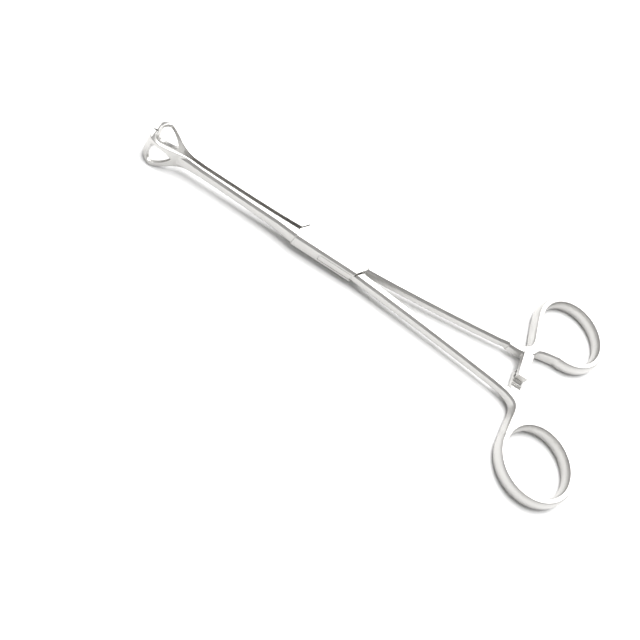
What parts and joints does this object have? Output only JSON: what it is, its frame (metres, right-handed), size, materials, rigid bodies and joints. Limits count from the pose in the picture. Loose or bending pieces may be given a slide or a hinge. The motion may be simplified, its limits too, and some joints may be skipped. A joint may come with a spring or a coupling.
{
  "type": "box-lock tissue forceps",
  "caption": "Locking tissue forceps with rounded, windowed jaw loops, a box-lock hinge, slender bowed shanks, a toothed ratchet catch and round finger rings.",
  "frame": {"origin": "centre of the whole instrument: mid-length, on the centre plane, at mid-height", "axes": "+X from the jaws to the finger rings, +Y towards the box half's finger ring, +Z square to the plane of the rings"},
  "size_m": [0.1606, 0.0798, 0.0098],
  "materials": {
    "female_steel": "satin stainless steel",
    "male_steel": "satin stainless steel",
    "pin_steel": "stainless steel ground flush"
  },
  "bodies": {
    "box_body": {"female_half": "female_steel", "pivot_pin": "pin_steel"},
    "web_body": {"male_half": "male_steel"}
  },
  "joints": [
    {"name": "box_lock_hinge", "type": "hinge", "parent": "box_body", "child": "web_body", "pos_m": [-0.017, 0, 0], "axis": [0, 0, -1], "range_deg": [0, 50]}
  ]
}
